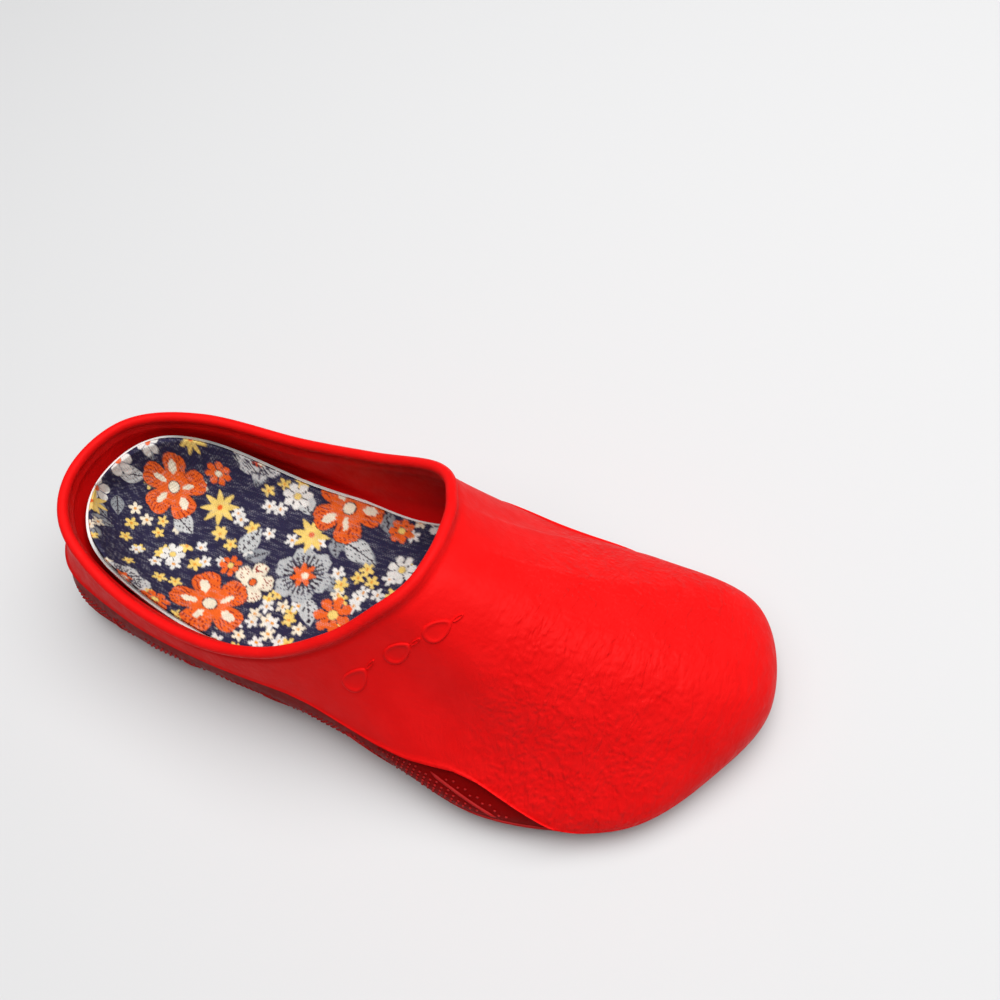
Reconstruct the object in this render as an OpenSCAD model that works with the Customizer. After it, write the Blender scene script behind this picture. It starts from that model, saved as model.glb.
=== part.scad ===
// A slip-on garden clog for the right foot: a moulded upper on a cupped
// outsole, with a loose printed footbed inside.
// +X points to the toe, +Y to the inner side of the foot and +Z up.
// The origin is on the ground, under the middle of the clog.

/* [Overall] */
// Outside length from heel to toe
clog_length = 257; // [240:1:272]
// Outside width across the ball of the foot
ball_width = 99; // [94:1:104]
// Height of the rolled rim at the throat
throat_height = 75; // [72:1:78]

/* [Upper] */
// Wall thickness above the outsole
wall = 2.8; // [2.4:0.1:3.2]
// Diameter of the rolled rim
rim_bead = 3.8; // [3.4:0.1:4.2]
// Thickness of the bonding flange under the footbed
flange_thickness = 1.6; // [1.2:0.1:2]
// Width of the bonding flange
flange_width = 9; // [7:0.5:10]

/* [Outsole] */
// Height of the deck that the upper is bonded to
deck_height = 14; // [13:0.5:14.5]
// How far the outsole wall is set back under the lip of the upper
lip_step = 1.2; // [1:0.1:1.4]
// Width of the shelf under the lip
shelf_width = 3.2; // [3:0.1:3.4]
// Rise of the tread at the toe
toe_spring = 4.2; // [3:0.1:4.5]
// Depth of the cross grooves in the tread
groove_depth = 2.5; // [1.5:0.1:3]

/* [Footbed] */
// Gap between the footbed and the wall
footbed_gap = 1; // [0.8:0.1:1.4]
// Thickness of the footbed at the middle of the arch
footbed_thickness = 5.1; // [4.8:0.1:6]
// How far the heel cup's edge stands above the arch
cup_rise = 23; // [18:0.5:24]
// Thickness of the printed cover
cover_thickness = 0.7; // [0.5:0.1:0.8]
// Thickness of the white foam under the cover
cushion_thickness = 2; // [1.6:0.1:2.2]
// Thickness of the backing sheet
backing_thickness = 0.6; // [0.5:0.1:0.8]

/* [Hidden] */

RED = "#d80b0b";
DARK_RED = "#a80808";

// Sixteen stations round the clog, from the back of the heel along the inner
// side to the toe and back along the outer side, for a 257 x 99 x 75 clog.
// sole x, sole y | rim x, y, z | out and up of the lower pull |
// out and down of the upper pull | undercut | inner lean
STATIONS = [
    [-134, 0, -120, 0, 54, -2, 27, 6, 13, 3.5, 1],
    [-125, 29, -113, 21.5, 53, 1, 18, 9, 23, 3.5, 1],
    [-88, 37.5, -90, 33, 49, 3, 10, 12, 33, 4, 1],
    [-45, 35, -53, 36, 44.5, 3, 10, 12, 33, 4, 1],
    [0, 30.5, -20, 34.5, 52, 3, 10, 12, 33, 4, 2],
    [45, 43.5, 8, 31, 63.5, 4, 9, 18, 43, 4.5, 12],
    [81, 45, 18, 20, 69.5, 5, 15, 24, 42, 4.5, 60],
    [112, 39, 21, 8, 72, 6, 23, 45, 36, 3, 200],
    [123.5, 11, 21, -2, 73, 5, 28, 66, 33, 2.5, 200],
    [114, -15, 18.5, -10.5, 72, 6, 22, 45, 36, 3, 200],
    [91, -42.5, 12, -18, 69, 4, 14, 22, 42, 4.5, 60],
    [50, -54, -2, -28, 60.5, 4, 9, 20, 43, 4.5, 12],
    [5, -45.5, -25, -36, 50, 3, 10, 11, 33, 4, 2],
    [-45, -38, -54, -37.5, 43.5, 3, 10, 12, 33, 4, 1],
    [-90, -38.5, -86, -32, 45.5, 3, 10, 12, 33, 4, 1],
    [-127, -30, -110, -19.5, 53, 1, 18, 9, 23, 3.5, 1]
];
// Height of the lip at a station: it drops steeply in front of the ball of the foot
LIPS = [[0, 30], [4.5, 30.5], [5, 29], [5.3, 25], [5.5, 20], [5.7, 13], [6, 10],
        [6.5, 9], [7, 8.8], [9, 8.6], [10, 8.8], [10.3, 9.8], [10.45, 12], [10.55, 21.5],
        [10.65, 23.3], [11, 23.8], [11.25, 25], [11.5, 27.2], [11.75, 30], [12, 31.5],
        [13, 32], [14, 31], [15, 30], [16, 30]];
REFERENCE = [257, 99, 75];
MIDDLE = [-4.6, -3.9];   // middle of the stations' outer box
SOLE_LINE = 8;          // height of the stations' sole points
FINE = 5;               // spans between two stations
SPANS = len(STATIONS) * FINE;
HALF = SPANS / 2;       // spans from heel to toe
SPRING_START = 65;      // where the tread starts to rise
SPRING_RUN = 70;
MIN_GAP = 0.1;          // between layers that lie on each other

kx = clog_length / REFERENCE.x;
ky = ball_width / REFERENCE.y;
kz = throat_height / REFERENCE.z;
bead_r = rim_bead / 2;
skirt = shelf_width + 2.2;              // thickness of the upper behind the lip
flange_top = deck_height + flange_thickness;

// ---- curves ----

function clamp(t) = min(1, max(0, t));
function ease(t) = let (k = clamp(t)) k * k * (3 - 2 * k);
function flat(p) = [p.x, p.y];
function lift(p, z) = [p.x, p.y, z];
function unit(v) = v / norm(v);
function spring(x) = toe_spring * pow(clamp((x / kx - SPRING_START) / SPRING_RUN), 2);

// A smooth closed curve through the rows of a table
function through(a, b, c, d, t) =
    (2 * b + (c - a) * t + (2 * a - 5 * b + 4 * c - d) * t * t
     + (3 * b - a - 3 * c + d) * t * t * t) / 2;
function row(k) = STATIONS[(k + len(STATIONS)) % len(STATIONS)];
ROWS = [for (i = [0 : SPANS - 1]) let (k = floor(i / FINE), t = i / FINE - k)
    through(row(k - 1), row(k), row(k + 1), row(k + 2), t)];

SOLE = [for (q = ROWS) [(q[0] - MIDDLE.x) * kx, (q[1] - MIDDLE.y) * ky]];
RIM = [for (q = ROWS) [(q[2] - MIDDLE.x) * kx, (q[3] - MIDDLE.y) * ky, q[4] * kz]];
LIP = [for (i = [0 : SPANS - 1]) lookup(i / FINE, LIPS)];
LEAN = [for (q = ROWS) q[10]];

// Level outward directions of a closed line that runs clockwise from above
function outward(line) = [for (i = [0 : SPANS - 1])
    let (d = line[(i + 1) % SPANS] - line[(i + SPANS - 1) % SPANS]) unit([-d.y, d.x])];
SOLE_OUT = outward(SOLE);
RIM_OUT = outward(RIM);

// Each station has one curve from the sole line up to the middle of the rim
RIBS = [for (i = [0 : SPANS - 1]) let (q = ROWS[i]) [
    lift(SOLE[i], SOLE_LINE),
    lift(SOLE[i] + SOLE_OUT[i] * q[5], SOLE_LINE + q[6]),
    lift(flat(RIM[i]) + RIM_OUT[i] * q[7], RIM[i].z - q[8] * kz),
    lift(flat(RIM[i]) + RIM_OUT[i] * bead_r, RIM[i].z)]];
function along(r, v) = let (w = 1 - v)
    w * w * w * r[0] + 3 * w * w * v * r[1] + 3 * w * v * v * r[2] + v * v * v * r[3];
function slope(r, v) = let (w = 1 - v)
    3 * w * w * (r[1] - r[0]) + 6 * w * v * (r[2] - r[1]) + 3 * v * v * (r[3] - r[2]);
function outer(i, v) = along(RIBS[i], v);
function facing(i, v) = let (
    across = along(RIBS[(i + 1) % SPANS], v) - along(RIBS[(i + SPANS - 1) % SPANS], v)
) unit(cross(slope(RIBS[i], v), across));
function level_facing(i, v) = unit(flat(facing(i, v)));

// Where station i's curve reaches height z
function reach(i, z, low = 0, high = 1, left = 18) =
    let (middle = (low + high) / 2)
    left == 0 ? middle
    : outer(i, middle).z < z ? reach(i, z, middle, high, left - 1)
    : reach(i, z, low, middle, left - 1);

// The outer skin moved in by d without changing its height
function set_back(i, z, d) = let (v = reach(i, z))
    lift(flat(outer(i, v)) - level_facing(i, v) * d, z);

// The inner skin: parallel to the outer one, but no further out than lean from
// a plumb line at the rim, so that the footbed can be lifted out
function thickness(i, z) = let (top = max(LIP[i], deck_height))
    wall + (skirt - wall) * clamp(1 - (z - top - 2) / 16);
function inside(i, v, lean) = let (
    p = outer(i, v),
    q = p - facing(i, v) * thickness(i, p.z),
    over = max(0, (flat(q) - flat(RIM[i])) * RIM_OUT[i] - lean)
) lift(flat(q) - RIM_OUT[i] * over, q.z);

// Where the inner skin of station i reaches height z
function inner_reach(i, z, low = 0, high = 1, left = 18) =
    let (middle = (low + high) / 2)
    left == 0 ? middle
    : inside(i, middle, LEAN[i]).z < z ? inner_reach(i, z, middle, high, left - 1)
    : inner_reach(i, z, low, middle, left - 1);

// ---- solids from rings ----

// Triangles between ring a and ring b, where each has SPANS points
function band(a, b) = [for (i = [0 : SPANS - 1]) let (j = (i + 1) % SPANS)
    each [[a * SPANS + i, b * SPANS + j, b * SPANS + i],
          [a * SPANS + i, a * SPANS + j, b * SPANS + j]]];

// Inner points of a skin that spans a ring: columns between the two sides
COLUMNS = 8;
function skin_points(side, height) = [for (i = [1 : HALF - 1], c = [1 : COLUMNS - 1])
    let (p = side[i] + (side[SPANS - i] - side[i]) * c / COLUMNS)
    lift(p, height(p.x, 2 * c / COLUMNS - 1, i))];
function skin_index(i, c, ring, first) =
    i == 0 ? ring * SPANS
    : i == HALF ? ring * SPANS + HALF
    : c == 0 ? ring * SPANS + i
    : c == COLUMNS ? ring * SPANS + SPANS - i
    : first + (i - 1) * (COLUMNS - 1) + c - 1;
function skin_faces(ring, first) = [for (i = [0 : HALF - 1], c = [0 : COLUMNS - 1])
    let (a = skin_index(i, c, ring, first), b = skin_index(i, c + 1, ring, first),
         d = skin_index(i + 1, c, ring, first), e = skin_index(i + 1, c + 1, ring, first))
    each [if (a != b) [a, e, b], if (d != e) [a, d, e]]];
function flipped(faces) = [for (f = faces) [f[0], f[2], f[1]]];

// A solid from a stack of rings, closed by a skin below and a skin above
module ringed_body(rings, low_height, high_height) {
    last = len(rings) - 1;
    low = skin_points([for (p = rings[0]) flat(p)], low_height);
    high = skin_points([for (p = rings[last]) flat(p)], high_height);
    stack = [for (r = rings) each r];
    polyhedron(
        points = concat(stack, low, high),
        faces = concat([for (k = [0 : last - 1]) each band(k, k + 1)],
                       flipped(skin_faces(0, len(stack))),
                       skin_faces(last, len(stack) + len(low))),
        convexity = 8);
}

// ---- upper ----

LIP_ROWS = 12;
INNER_ROWS = 10;
BEAD_ARC = [45, 300];   // where the bead starts and ends, from the wall's end
BEAD_STEPS = 8;

// The bond line under the upper, shared by the upper and the outsole
function bond_line(i) = [
    set_back(i, LIP[i], shelf_width),
    set_back(i, (LIP[i] + deck_height) / 2, shelf_width),
    set_back(i, deck_height, shelf_width),
    lift(SOLE[i] - SOLE_OUT[i] * (flange_width + 3), deck_height)];

function rim_arc(i) = let (
    back = RIBS[i][2] - RIBS[i][3],
    start = atan2(back.z, flat(back) * RIM_OUT[i])
) [for (k = [BEAD_STEPS : -1 : 0])
    let (a = start + BEAD_ARC[0] + (BEAD_ARC[1] - BEAD_ARC[0]) * k / BEAD_STEPS)
    lift(flat(RIBS[i][3]) + RIM_OUT[i] * bead_r * cos(a), RIM[i].z + bead_r * sin(a))];

function upper_section(i) = let (
    under_bead = 1 - 0.45 * bead_r / norm(RIBS[i][3] - RIBS[i][2]),
    low_v = reach(i, LIP[i]),
    foot_v = inner_reach(i, flange_top)
) concat(
    bond_line(i),
    [lift(SOLE[i] - SOLE_OUT[i] * (flange_width + 3), flange_top)],
    [for (k = [0 : INNER_ROWS])
        inside(i, foot_v + (under_bead - foot_v) * k / INNER_ROWS, LEAN[i])],
    rim_arc(i),
    [for (k = [0 : LIP_ROWS])
        outer(i, under_bead + (low_v - under_bead) * k / LIP_ROWS)]);

module upper_shell() {
    sections = [for (i = [0 : SPANS - 1]) upper_section(i)];
    rings = len(sections[0]);
    color(RED) polyhedron(
        points = [for (k = [0 : rings - 1], i = [0 : SPANS - 1]) sections[i][k]],
        faces = flipped([for (k = [0 : rings - 1]) each band(k, (k + 1) % rings)]),
        convexity = 10);
}

// ---- outsole ----

WALL_ROWS = 5;
EDGE_BAND = 6;          // width of the flat band round the tread
GROOVE_EVERY = 4;       // spans from one cross groove to the next

function cross_groove(i) = let (k = min(i, SPANS - i) % GROOVE_EVERY)
    k == 2 ? groove_depth : 0.3;
function tread_ring(inset, i) = SOLE[i] - SOLE_OUT[i] * (ROWS[i][9] + inset);

module outsole() {
    wall_rings = [for (k = [0 : WALL_ROWS]) [for (i = [0 : SPANS - 1])
        let (v = reach(i, LIP[i]) * k / WALL_ROWS, p = outer(i, v))
        lift(flat(p) - level_facing(i, v) * lip_step, p.z)]];
    rings = concat(
        [[for (i = [0 : SPANS - 1]) let (p = tread_ring(EDGE_BAND + 1, i))
            lift(p, spring(p.x) + cross_groove(i))]],
        [for (inset = [EDGE_BAND, 0.8]) [for (i = [0 : SPANS - 1])
            let (p = tread_ring(inset, i)) lift(p, spring(p.x))]],
        [[for (i = [0 : SPANS - 1]) let (p = tread_ring(0, i))
            lift(p, spring(p.x) + 0.8)]],
        wall_rings,
        [for (k = [0 : 3]) [for (i = [0 : SPANS - 1]) bond_line(i)[k]]],
        [[for (i = [0 : SPANS - 1])
            lift(SOLE[i] - SOLE_OUT[i] * (flange_width + 3.5), flange_top - MIN_GAP)]]);
    color(DARK_RED) ringed_body(rings,
        function (x, a, i) spring(x) + cross_groove(i),
        function (x, a, i) flange_top - MIN_GAP);
}

// ---- footbed ----

CUP_START = -35;        // where the heel cup starts to rise
CUP_RUN = 70;
BACK_RUN = 42;          // length of the cup's back wall along the middle
RIM_CLEAR = 2.3;        // from the wall's furthest lean to the footbed
LIFT = 6;               // angle that the footbed tips to when it is taken out
LIFT_SPARE = 2;         // extra height that it stays clear over

// Heights of the footbed's top: along its edge, along its middle, and between
function edge_height(x) = let (u = x / kx)
    arch_top + 2 + cup_rise * ease((CUP_START - u) / CUP_RUN) - 2 * ease(u / 60)
    + 2 * ease((u - SPRING_START) / SPRING_RUN);
function middle_height(x) = let (u = x / kx)
    arch_top + 4 * ease((CUP_START - u) / CUP_RUN) - 0.6 * ease(u / 60)
    + 1.6 * ease((u - SPRING_START) / SPRING_RUN);
function top_height(x, a) = let (
    back = clamp((BACK_RUN - (x - SOLE[0].x) + 13) / BACK_RUN),
    side = min(1, pow(abs(a), 3) + pow(back, 3))
) middle_height(x) + (edge_height(x) - middle_height(x)) * side;

// A point at height z that is clear of the wall and of a plumb line at the rim
function clear_point(i, z) = let (
    v = inner_reach(i, z),
    wall_point = flat(inside(i, v, LEAN[i])) - level_facing(i, v) * footbed_gap,
    over = max(0, (wall_point - flat(RIM[i])) * RIM_OUT[i] - LEAN[i] + RIM_CLEAR)
) wall_point - RIM_OUT[i] * over;

// The footbed's side at height z: clear where it lies, and clear once lifted out
function footbed_side(i, z) = let (
    lying = clear_point(i, z),
    lifted = clear_point(i, z + LIFT_SPARE + (SOLE[HALF].x - SOLE[i].x) * sin(LIFT))
) lying - SOLE_OUT[i] * max(0, (lying - lifted) * SOLE_OUT[i]);

function layer_ring(drop) = [for (i = [0 : SPANS - 1])
    let (guess = footbed_side(i, 24), z = edge_height(guess.x) - drop)
    lift(footbed_side(i, z), z)];
function level_ring(z) = [for (i = [0 : SPANS - 1]) lift(footbed_side(i, z), z)];
function layer_top(drop) = function (x, a, i) top_height(x, a) - drop;
function level_skin(z) = function (x, a, i) z;

footbed_base = flange_top + 0.3;
core_base = footbed_base + backing_thickness;
arch_top = footbed_base + footbed_thickness;

module footbed_backing() {
    color("#b9a27c") ringed_body([level_ring(footbed_base), level_ring(core_base)],
        level_skin(footbed_base), level_skin(core_base));
}

module footbed_core() {
    drop = cover_thickness + cushion_thickness;
    color("#c9a46c") ringed_body([level_ring(core_base), layer_ring(drop)],
        level_skin(core_base), layer_top(drop));
}

module footbed_cushion() {
    drop = cover_thickness;
    color("white") ringed_body([layer_ring(drop + cushion_thickness), layer_ring(drop)],
        layer_top(drop + cushion_thickness), layer_top(drop));
}

module footbed_cover() {
    color("#2b2a44") ringed_body([layer_ring(cover_thickness), layer_ring(0)],
        layer_top(cover_thickness), layer_top(0));
}

upper_shell();
outsole();
footbed_backing();
footbed_core();
footbed_cushion();
footbed_cover();
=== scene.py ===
import math
import bpy
import numpy as np
from mathutils import Matrix, Vector


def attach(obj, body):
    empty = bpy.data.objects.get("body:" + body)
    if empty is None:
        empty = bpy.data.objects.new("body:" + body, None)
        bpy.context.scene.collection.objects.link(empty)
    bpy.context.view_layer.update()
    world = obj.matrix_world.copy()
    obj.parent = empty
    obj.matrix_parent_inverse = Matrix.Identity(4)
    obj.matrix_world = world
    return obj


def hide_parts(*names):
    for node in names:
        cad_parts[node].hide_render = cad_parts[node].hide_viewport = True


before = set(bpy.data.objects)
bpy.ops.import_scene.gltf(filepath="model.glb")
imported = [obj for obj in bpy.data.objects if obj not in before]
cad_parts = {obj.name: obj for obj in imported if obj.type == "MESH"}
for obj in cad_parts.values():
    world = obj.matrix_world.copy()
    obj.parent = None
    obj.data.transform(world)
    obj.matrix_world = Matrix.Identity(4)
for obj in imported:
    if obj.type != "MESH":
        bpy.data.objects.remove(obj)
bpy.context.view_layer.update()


# ---- Upper ----
# Red moulded rubber in one shell with a leather-like grain, smooth round the rolled rim
# and in a patch on the outer side. Its lip hangs over the cupped sole and a flange under
# the footbed is bonded to the sole's deck.

# Sixteen stations round the foot, from the back of the heel along the inner side to the
# toe and back along the outer side. Every piece below takes its skin from them. In mm:
# sole x, y | rim x, y, z | lower pull out, up | upper pull out, down | undercut,
# how far the inside may lean out past the rim.
STATIONS = np.array([
    [-134, 0, -120, 0, 54, -2, 27, 6, 13, 3.5, 1],
    [-125, 29, -113, 21.5, 53, 1, 18, 9, 23, 3.5, 1],
    [-88, 37.5, -90, 33, 49, 3, 10, 12, 33, 4, 1],
    [-45, 35, -53, 36, 44.5, 3, 10, 12, 33, 4, 1],
    [0, 30.5, -20, 34.5, 52, 3, 10, 12, 33, 4, 2],
    [45, 43.5, 8, 31, 63.5, 4, 9, 18, 43, 4.5, 12],
    [81, 45, 18, 20, 69.5, 5, 15, 24, 42, 4.5, 60],
    [112, 39, 21, 8, 72, 6, 23, 45, 36, 3, 200],
    [123.5, 11, 21, -2, 73, 5, 28, 66, 33, 2.5, 200],
    [114, -15, 18.5, -10.5, 72, 6, 22, 45, 36, 3, 200],
    [91, -42.5, 12, -18, 69, 4, 14, 22, 42, 4.5, 60],
    [50, -54, -2, -28, 60.5, 4, 9, 20, 43, 4.5, 12],
    [5, -45.5, -25, -36, 50, 3, 10, 11, 33, 4, 2],
    [-45, -38, -54, -37.5, 43.5, 3, 10, 12, 33, 4, 1],
    [-90, -38.5, -86, -32, 45.5, 3, 10, 12, 33, 4, 1],
    [-127, -30, -110, -19.5, 53, 1, 18, 9, 23, 3.5, 1]], float)
# height of the lip at a station: it drops steeply in front of the ball of the foot
LIPS = np.array([
    [0, 30], [4.5, 30.5], [5, 29], [5.3, 25], [5.5, 20], [5.7, 13], [6, 10],
    [6.5, 9], [7, 8.8], [9, 8.6], [10, 8.8], [10.3, 9.8], [10.45, 12], [10.55, 21.5],
    [10.65, 23.3], [11, 23.8], [11.25, 25], [11.5, 27.2], [11.75, 30], [12, 31.5],
    [13, 32], [14, 31], [15, 30], [16, 30]])
MIDDLE_X, MIDDLE_Y = -4.6, -3.9     # middle of the stations' outer box
STATIONS[:, [0, 2]] -= MIDDLE_X
STATIONS[:, [1, 3]] -= MIDDLE_Y
DENSER = 0.62       # how much closer the spans lie where the lip drops
SOLE_LINE = 8       # height of the stations' sole points
WALL = 2.8          # thickness of the upper
BEAD = 1.9          # radius of the rolled rim
LIP_STEP = 1.2      # how far the sole's wall is set back under the lip
SHELF = 3.2         # how far the bond under the lip is set back
DECK = 14.0         # height of the sole's deck


def ease(t):
    k = np.clip(t, 0, 1)
    return k * k * (3 - 2 * k)


def spring(x):
    return 4.2 * np.clip((x - 65) / 70, 0, 1) ** 2


def out_of(line):
    """Level outward directions of a closed line that runs clockwise from above."""
    d = np.roll(line[:, :2], -1, 0) - np.roll(line[:, :2], 1, 0)
    n = np.stack([-d[:, 1], d[:, 0]], 1)
    return n / np.linalg.norm(n, axis=1)[:, None]


class Form:
    """The stations refined to `per` spans each, with one curve per span from sole to rim."""

    def __init__(self, per):
        m = len(STATIONS)
        us = np.arange(m * per) / per
        # more spans where the lip drops, on both sides alike so that skins still pair up
        for where in (5.52, 10.48):
            us = us - DENSER * (us - where) * np.exp(-((us - where) / 0.42) ** 2)
        k = np.floor(us).astype(int)
        t = (us - k)[:, None]
        a, b, c, d = (STATIONS[(k + j) % m] for j in (-1, 0, 1, 2))
        q = (2 * b + (c - a) * t + (2 * a - 5 * b + 4 * c - d) * t * t
             + (3 * b - a - 3 * c + d) * t ** 3) / 2
        self.q, self.n = q, len(q)
        self.sole, self.rim = q[:, :2], q[:, 2:5]
        self.sole_out, self.rim_out = out_of(self.sole), out_of(self.rim)
        self.lean, self.undercut = q[:, 10], q[:, 9]
        self.lip = np.interp(us, *LIPS.T)
        base = np.c_[self.sole, np.full(self.n, SOLE_LINE)]
        low = np.c_[self.sole + self.sole_out * q[:, 5:6], SOLE_LINE + q[:, 6]]
        high = np.c_[self.rim[:, :2] + self.rim_out * q[:, 7:8], q[:, 4] - q[:, 8]]
        top = np.c_[self.rim[:, :2] + self.rim_out * BEAD, q[:, 4]]
        self.ribs = np.stack([base, low, high, top])
        self.across = np.roll(self.ribs, -1, 1) - np.roll(self.ribs, 1, 1)

    def at(self, v, ribs=None):
        r = self.ribs if ribs is None else ribs
        v = np.broadcast_to(v, (self.n,))[:, None]
        w = 1 - v
        return w ** 3 * r[0] + 3 * w * w * v * r[1] + 3 * w * v * v * r[2] + v ** 3 * r[3]

    def facing(self, v):
        r, s = self.ribs, np.broadcast_to(v, (self.n,))[:, None]
        w = 1 - s
        up = w * w * (r[1] - r[0]) + 2 * w * s * (r[2] - r[1]) + s * s * (r[3] - r[2])
        n = np.cross(up, self.at(v, self.across))
        return n / np.linalg.norm(n, axis=1)[:, None]

    def reach(self, z, point=None):
        """Where each curve, or the skin that `point` gives, gets to height z."""
        point = point or self.at
        low, high = np.zeros(self.n), np.ones(self.n)
        for _ in range(26):
            middle = (low + high) / 2
            under = point(middle)[:, 2] < z
            low, high = np.where(under, middle, low), np.where(under, high, middle)
        return (low + high) / 2

    def set_back(self, z, d):
        v = self.reach(z)
        n = self.facing(v)[:, :2]
        p = self.at(v)
        p[:, :2] -= n / np.linalg.norm(n, axis=1)[:, None] * np.reshape(d, (-1, 1))
        p[:, 2] = z
        return p

    def inside(self, v):
        p = self.at(v)
        skirt = np.clip(1 - (p[:, 2] - np.maximum(self.lip, DECK) - 2) / 16, 0, 1)
        q = p - self.facing(v) * (WALL + (SHELF + 2.2 - WALL) * skirt)[:, None]
        past = ((q[:, :2] - self.rim[:, :2]) * self.rim_out).sum(1) - self.lean
        q[:, :2] -= self.rim_out * np.maximum(past, 0)[:, None]
        return q


def closed_rows(rings):
    """Points and quads of a tube of rings, each with the same number of points."""
    k, n = len(rings), len(rings[0])
    a = np.arange((k - 1) * n).reshape(k - 1, n)
    right = np.roll(a, -1, 1)
    quads = np.stack([a, a + n, right + n, right], -1).reshape(-1, 4)
    return np.concatenate(rings), quads


def make_mesh(name, points, quads, values=None, flip=False):
    """A smooth mesh object from mm, with one float attribute per entry of values."""
    points = np.asarray(points, float) / 1000
    quads = (quads[:, ::-1] if flip else quads).tolist()
    faces = []
    for q in quads:
        face = [p for k, p in enumerate(q) if p != q[k - 1]]
        if len(set(face)) > 2:
            faces.append(face)
    mesh = bpy.data.meshes.new(name)
    mesh.from_pydata(points.tolist(), [], faces)
    for key, data in (values or {}).items():
        data = np.asarray(data, float)
        if data.ndim == 1:
            layer = mesh.attributes.new(key, "FLOAT", "POINT")
            layer.data.foreach_set("value", data.astype(np.float32))
        else:
            layer = mesh.attributes.new(key, "FLOAT_COLOR", "POINT")
            rgba = np.c_[data, np.ones(len(data))]
            layer.data.foreach_set("color", rgba.astype(np.float32).ravel())
    mesh.polygons.foreach_set("use_smooth", [True] * len(mesh.polygons))
    mesh.update()
    obj = bpy.data.objects.new(name, mesh)
    bpy.context.scene.collection.objects.link(obj)
    return obj


class Sock:
    """A shader socket that can be used in sums. Every operator adds one Math node."""

    def __init__(self, tree, out):
        self.tree, self.out = tree, out

    def node(self, kind, _pick=0, **settings):
        """Adds a node: inputs by name or by number (i0, i1, ...), the rest as properties."""
        n = self.tree.nodes.new(kind)
        later = []
        for key, value in settings.items():
            if key[0] == "i" and key[1:].isdigit():
                later.append((n.inputs, int(key[1:]), value))
            elif hasattr(n, key):
                setattr(n, key, value)
            else:
                later.append((n.inputs, key.replace("_", " "), value))
        for inputs, key, value in later:
            if isinstance(value, Sock):
                self.tree.links.new(value.out, inputs[key])
            else:
                inputs[key].default_value = value
        return Sock(self.tree, n.outputs[_pick])

    def math(self, operation, *others, clamp=False):
        given = {f"i{k}": v for k, v in enumerate((self, *others))}
        return self.node("ShaderNodeMath", operation=operation, use_clamp=clamp, **given)

    def __add__(self, o):
        return self.math("ADD", o)

    def __sub__(self, o):
        return self.math("SUBTRACT", o)

    def __mul__(self, o):
        return self.math("MULTIPLY", o)

    def __truediv__(self, o):
        return self.math("DIVIDE", o)

    def __rsub__(self, o):
        return self.math("MULTIPLY", -1.0) + o

    __radd__, __rmul__ = __add__, __mul__

    def ramp(self, a, b, to_a=0.0, to_b=1.0):
        return self.node("ShaderNodeMapRange", interpolation_type="SMOOTHSTEP", i0=self,
                         i1=a, i2=b, i3=to_a, i4=to_b)

    def mix(self, a, b):
        """A colour from a to b, by this value."""
        return self.node("ShaderNodeMix", 2, data_type="RGBA", i0=self, i6=a, i7=b)

    def stretched(self, x, y, z, turn=0.0):
        return self.node("ShaderNodeMapping", Vector=self, Scale=(x, y, z),
                         Rotation=(0, 0, turn))

    def noise(self, size, detail=2.0, rough=0.5):
        return self.node("ShaderNodeTexNoise", Vector=self, Scale=1000 / size,
                         Detail=detail, Roughness=rough)

    def cells(self, size, feature="F1", pick=0, random=1.0):
        return self.node("ShaderNodeTexVoronoi", pick, feature=feature, Vector=self,
                         Scale=1000 / size, Randomness=random)


def material(name, **fixed):
    """A principled material, its object coordinates and its shader."""
    mat = bpy.data.materials.new(name)
    mat.use_nodes = True
    tree = mat.node_tree
    shader = tree.nodes["Principled BSDF"]
    for key, value in fixed.items():
        shader.inputs[key.replace("_", " ")].default_value = value
    coords = Sock(tree, tree.nodes.new("ShaderNodeTexCoord").outputs["Object"])
    return mat, coords, shader


def attribute(sock, name, pick="Fac"):
    n = sock.tree.nodes.new("ShaderNodeAttribute")
    n.attribute_name = name
    return Sock(sock.tree, n.outputs[pick])


def feed(shader, **given):
    """Links sockets to the shader's inputs."""
    for key, sock in given.items():
        sock.tree.links.new(sock.out, shader.inputs[key.replace("_", " ")])


def bump(height, distance_mm, strength=1.0):
    return height.node("ShaderNodeBump", Strength=strength, Distance=distance_mm / 1000,
                       Height=height)


def finish_piece(obj, mat, body, replaces):
    obj.data.materials.append(mat)
    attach(obj, body)
    if replaces:
        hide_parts(replaces)


form = Form(26)
OUT_ROWS = 118      # rows of points up the outer skin
IN_ROWS = 34        # and down the inner one
BEAD_ROWS = 14      # and round the rolled rim
LIP_R = 0.9         # radius of the lip's edge

under_bead = 1 - 0.45 * BEAD / np.linalg.norm(form.ribs[3] - form.ribs[2], axis=1)
low_v = form.reach(form.lip + LIP_R)
foot_v = form.reach(DECK + 1.6, form.inside)

flange = np.c_[form.sole - form.sole_out * 12, np.full(form.n, DECK + 1.6)]
bond = [form.set_back(form.lip, SHELF), form.set_back((form.lip + DECK) / 2, SHELF),
        form.set_back(np.full(form.n, DECK), SHELF),
        np.c_[form.sole - form.sole_out * 12, np.full(form.n, DECK)]]
lip_side = form.set_back(form.lip, 0.0)
lip_out = lip_side[:, :2] - form.set_back(form.lip, 1.0)[:, :2]
rings = bond[::-1]
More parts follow.
